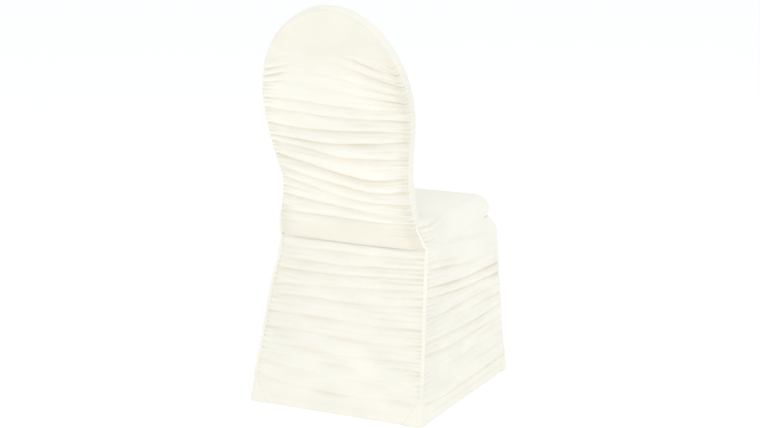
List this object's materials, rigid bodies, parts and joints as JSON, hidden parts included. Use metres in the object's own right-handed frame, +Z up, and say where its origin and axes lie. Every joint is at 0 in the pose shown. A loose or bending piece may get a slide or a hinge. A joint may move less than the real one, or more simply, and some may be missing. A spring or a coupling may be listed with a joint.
{
  "type": "stretch chair cover",
  "caption": "Fitted, ruched stretch cover for a banquet chair, with an oval-topped back, a rounded seat and gathered skirts to the floor, held down by corner foot pockets.",
  "frame": {"origin": "on the floor, at the middle of the cover's bounding box", "axes": "+Z is up. The seat faces -Y and the ruched back faces +Y. +X is the left side of a person behind the chair who looks at its back."},
  "size_m": [0.4528, 0.5415, 0.9409],
  "materials": {
    "stretch_knit": "matte ivory stretch knit, faintly silky where it is pulled tight",
    "seam_binding": "the same ivory knit, gathered around a corner seam",
    "pocket_knit": "doubled ivory knit, smooth and matte"
  },
  "bodies": {
    "root": {"back_rear_panel": "stretch_knit", "back_front_panel": "stretch_knit", "seat_panel": "stretch_knit", "skirt_rear": "stretch_knit", "skirt_left": "stretch_knit", "skirt_right": "stretch_knit", "skirt_front": "stretch_knit", "corner_seam_rear_left": "seam_binding", "corner_seam_rear_right": "seam_binding", "foot_pocket_rear_left": "pocket_knit", "foot_pocket_rear_right": "pocket_knit", "foot_pocket_front_left": "pocket_knit", "foot_pocket_front_right": "pocket_knit"}
  },
  "joints": []
}
